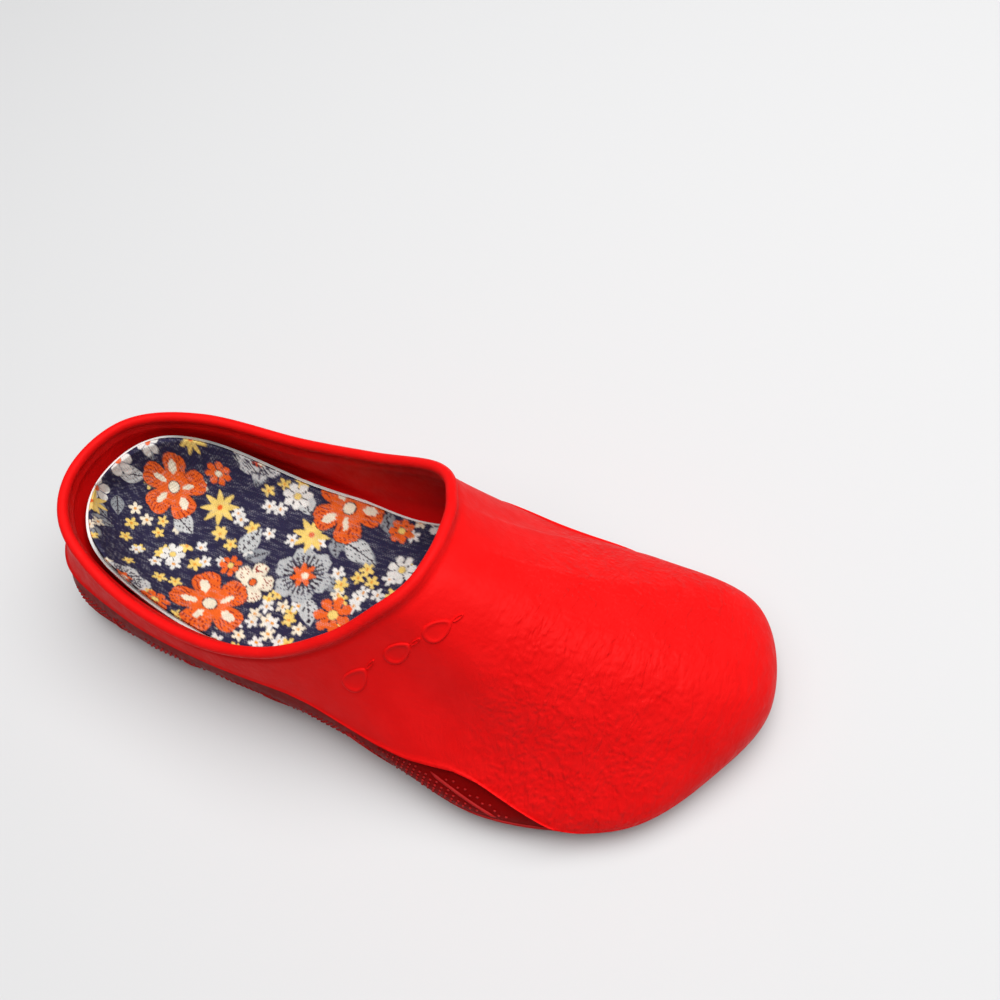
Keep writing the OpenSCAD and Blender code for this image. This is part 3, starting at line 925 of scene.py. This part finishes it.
def rosette(x, y, size, tint, heart, turn=0.0, count=6, dark=DARK):
    """A small flower of rounded petals with notches between them."""
    _, r, a = local(x, y, turn)
    d = size * (0.52 + 0.48 * np.abs(np.cos(a * count / 2)) ** 0.55) - r
    paint(edge(d), tint)
    paint(edge(d) * (np.abs(np.cos(a * count / 2)) < 0.22) * (r > size * 0.3), dark)
    paint(edge(size * 0.26 + 0.2 - r) * 0.6, dark)
    paint(edge(size * 0.25 - r), heart)


def anemone(x, y, size, turn=0.0, tint=GREY, heart=ORANGE, share=0.38):
    """A large pale bloom with dark rays round a bright middle."""
    _, r, a = local(x, y, turn)
    d = size * (0.74 + 0.26 * np.abs(np.cos(a * 3)) ** 0.7) + 0.03 * size * np.sin(a * 17) - r
    paint(edge(d), tint)
    paint(edge(d) * (np.abs(np.cos(a * 3)) < 0.10), (0.10, 0.10, 0.14))
    fibre = np.abs(np.sin(a * 21 + 0.7 * np.sin(r))) < 0.25
    paint(edge(d - 0.5) * fibre * 0.55, (0.12, 0.12, 0.16))
    rays = np.abs(np.sin(a * 11)) > 0.80
    paint(edge(size * 0.70 - r) * rays, DARK)
    paint(edge(size * share + 0.3 - r), DARK)
    blot = 0.10 * size * np.sin(a * 7)
    paint(edge(size * share * 0.9 + blot - r), heart)
    paint(edge(size * 0.12 - np.hypot(r * np.cos(a) - 0.8, r * np.sin(a))), CREAM)


def daisy(x, y, size, tint=YELLOW, turn=0.0, heart=ORANGE, count=8):
    """Thin separate petals."""
    _, r, a = local(x, y, turn)
    sector = np.mod(a, 2 * np.pi / count) - np.pi / count
    u, w = r * np.cos(sector), np.abs(r * np.sin(sector))
    t = np.clip(u / size, 0, 1)
    d = np.minimum(size * 0.17 * np.sin(np.pi * (0.15 + 0.8 * t)) - w, size - r)
    paint(edge(d), tint)
    paint(edge(size * 0.22 - r), tint)
    paint(edge(size * 0.15 - r), heart)


def star(x, y, size, tint, heart, turn=0.0):
    """A tiny flower of five petals."""
    _, r, a = local(x, y, turn)
    d = size * (0.42 + 0.58 * np.abs(np.cos(a * 2.5)) ** 1.3) - r
    paint(edge(d), tint)
    paint(edge(size * 0.22 - r), heart)


def leaf(x, y, size, turn, tint=GREY):
    """A veined leaf that starts at (x, y)."""
    d, _, _ = local(x, y)
    c, s = math.cos(turn), math.sin(turn)
    u, w = d[:, 0] * c + d[:, 1] * s, -d[:, 0] * s + d[:, 1] * c
    t = np.clip(u / size, 0, 1)
    half = size * 0.30 * np.sin(np.pi * t ** 0.8)
    body = np.minimum(half - np.abs(w), np.minimum(u, size - u))
    paint(edge(body), tint)
    veins = (np.abs(w) < 0.25) | (np.abs(np.sin((u - np.abs(w) * 1.2) * 1.5)) < 0.20)
    paint(edge(body - 0.3) * veins, DARK)


def cluster(x, y, spread, count, tints):
    """Tiny flowers, none closer than a flower's width to the last few."""
    kept = []
    for _ in range(count * 12):
        p = np.array([x, y]) + rng.normal(0, spread / 1.7, 2)
        if all(np.hypot(*(p - k)) > 4.6 for k in kept):
            kept.append(p)
            tint = tints[len(kept) % len(tints)]
            star(*p, rng.uniform(2.5, 3.0), tint, (0.75, 0.30, 0.03), rng.uniform(0, 6))
        if len(kept) == count:
            return


for k in range(44):
    px, py = rng.uniform(-120, 118), rng.uniform(-40, 46)
    leaf(px, py, rng.uniform(7, 11), rng.uniform(0, 6.28), (0.26, 0.28, 0.30))
cluster(60, 5, 60, 70, (WHITE, YELLOW, CREAM))
cluster(-30, 0, 60, 40, (WHITE, YELLOW, CREAM))
cluster(-98, 0, 13, 18, (YELLOW, YELLOW, CREAM))
cluster(-62, 20, 9, 8, (WHITE, WHITE, YELLOW))
cluster(-71, 4, 8, 8, (WHITE, YELLOW, WHITE))
cluster(-82, -14, 8, 9, (WHITE, YELLOW))
cluster(-44, -22, 9, 12, (YELLOW, CREAM, WHITE))
cluster(-36, -13, 8, 9, (WHITE, CREAM, YELLOW))
cluster(-14, 4, 7, 8, (WHITE, YELLOW))
for spot in ((-110, 12, 12, 0.4), (-92, 10, 12, -0.5), (-62, 4, 12, 1.3), (-26, 20, 14, -0.3),
             (-106, 22, 10, 1.2), (-44, 26, 11, 2.2), (-30, -4, 11, -1.0), (8, 22, 13, 0.6),
             (20, -16, 12, -2.2), (46, 18, 14, 2.8), (-112, -8, 9, 2.5), (-76, 34, 10, 0.1)):
    leaf(*spot, (0.55, 0.57, 0.56))
for spot in ((-113, 16, 6.5), (-104, 26, 6.0), (-120, 2, 5.5)):
    rosette(*spot, WHITE, ORANGE, 0.3, 6, (0.3, 0.3, 0.34))
anemone(-67, 36, 7.6, 0.4, (0.60, 0.61, 0.60), (0.55, 0.06, 0.02), 0.24)
anemone(-86, -25, 9.0, 0.2, (0.60, 0.61, 0.60), ORANGE, 0.30)
anemone(-35.4, 3.6, 11.0, 0.1, (0.46, 0.48, 0.48))
anemone(30, 4, 11.0, 0.8)
anemone(86, 12, 10.0, 0.3)
for x0, y0, size, turn in ((-110.8, -2.3, 6.3, 0.2), (-90.7, 33.6, 6.8, 0.5),
                           (-77.2, 17.3, 7.4, 0.1), (-39.7, 19.0, 7.2, 0.3),
                           (14, -30, 6.5, 0.4), (58, 32, 7.0, 0.2), (100, -8, 6.8, 0.6)):
    daisy(x0, y0, size, YELLOW, turn)
for x0, y0, size in ((-51.1, 30.5, 5.6), (-84.4, -5.7, 4.7), (-1.7, 16.3, 5.4),
                     (6, 36, 5.2), (70, -20, 5.5), (40, 36, 5.0)):
    rosette(x0, y0, size, WHITE, YELLOW, 0.5, 7)
for x0, y0, size, heart in ((-80.7, 28.0, 4.9, CREAM), (-62.8, -1.6, 4.3, YELLOW),
                            (-17.8, -6.8, 7.0, YELLOW), (-74, -25.5, 4.8, YELLOW),
                            (-8, 30, 5.0, YELLOW), (64, 8, 6.8, YELLOW)):
    rosette(x0, y0, size, ORANGE, heart, 0.2, 7)
five_petal(-51.6, -4.7, 7.8, CREAM, ORANGE, 0.4, None)
five_petal(-95.5, 17.9, 14.2, ORANGE, CREAM, 0.15)
five_petal(-30.4, 32.8, 14.0, ORANGE, CREAM, 0.6)
five_petal(-60.6, -18.2, 14.0, ORANGE, CREAM, 0.9)
five_petal(22, -28, 13.0, ORANGE, CREAM, 0.2)
five_petal(50, 14, 13.5, ORANGE, CREAM, 0.5)
five_petal(92, 26, 12.5, ORANGE, CREAM, 0.1)

cover = make_mesh("footbed_cover_canvas", pts, q, {"print": colour}, flip=True)
mat, at, shader = material("cover_canvas", Roughness=0.88, Specular_IOR_Level=0.22)
tint = attribute(at, "print", "Color")
THREAD = 1.0
split = at.node("ShaderNodeSeparateXYZ", 0, Vector=at)
split_y = Sock(at.tree, split.out.node.outputs[1])
wobble = at.noise(6.0, 2.0) * 0.0009
warp_t = ((split + wobble) * (2000 * math.pi / THREAD)).math("SINE")
weft_t = ((split_y + wobble) * (2000 * math.pi / THREAD * 0.8)).math("SINE")
weave = (warp_t * weft_t) * 0.5 + 0.5
slub = at.stretched(0.35, 1.4, 1).noise(1.6, 3.0, 0.6)
fleck = (weave * slub.ramp(0.45, 0.75)) * 0.32
faded = fleck.mix(tint, (0.62, 0.62, 0.66, 1))
shade = at.noise(3.0, 3.0).ramp(0.25, 0.75, 0.80, 1.0)
worn = shade.node("ShaderNodeMix", 2, data_type="RGBA", blend_type="MULTIPLY", i0=1.0,
                  i6=faded, i7=shade)
feed(shader, Base_Color=worn, Normal=bump(weave + slub * 0.6, 0.16, 0.8))
finish_piece(cover, mat, "footbed", "footbed_cover")
mesh = cover.data
mesh.calc_loop_triangles()


# ---- Floor, camera and lights ----
# A plain pale floor of 12 m, with a large soft light above the toe and a weaker one above
# the heel.
floor_mesh = bpy.data.meshes.new("floor")
R = 6.0
floor_mesh.from_pydata([(-R, -R, 0), (R, -R, 0), (R, R, 0), (-R, R, 0)], [], [[0, 1, 2, 3]])
floor = bpy.data.objects.new("floor", floor_mesh)
bpy.context.scene.collection.objects.link(floor)
floor_mat, at, shader = material("floor_paper", Base_Color=(0.68, 0.68, 0.682, 1),
                                 Roughness=0.9, Specular_IOR_Level=0.2)
floor_mesh.materials.append(floor_mat)

camera_data = bpy.data.cameras.new("camera")
camera_data.lens = 35.46
camera_data.sensor_width = 36
camera = bpy.data.objects.new("camera", camera_data)
right, top_dir, away = ((0.9169, 0.3688, -0.1530), (-0.2500, 0.8291, 0.5002),
                        (0.3113, -0.4204, 0.8523))
place = Matrix.Identity(4)
for k, axis in enumerate((right, top_dir, away)):
    for j in range(3):
        place[j][k] = axis[j]
place.translation = (0.1303, -0.0952, 0.3207)
camera.matrix_world = place
bpy.context.scene.collection.objects.link(camera)
bpy.context.scene.camera = camera


def area_light(name, where, aim, size, power):
    data = bpy.data.lights.new(name, "AREA")
    data.shape, data.size, data.energy = "DISK", size, power
    lamp = bpy.data.objects.new(name, data)
    lamp.location = where
    back_dir = (lamp.location - Vector(aim)).normalized()
    lamp.rotation_euler = back_dir.to_track_quat("Z", "Y").to_euler()
    bpy.context.scene.collection.objects.link(lamp)


area_light("key_light", (0.36, 0.30, 1.45), (0.02, 0, 0.03), 1.7, 30)
area_light("fill_light", (-0.35, -0.15, 1.7), (0, 0, 0.03), 1.8, 9.5)
world = bpy.data.worlds.new("studio")
bpy.context.scene.world = world
world.use_nodes = True
world.node_tree.nodes["Background"].inputs["Color"].default_value = (0.92, 0.94, 1.0, 1)
world.node_tree.nodes["Background"].inputs["Strength"].default_value = 0.07

bpy.context.scene.view_settings.view_transform = "Standard"
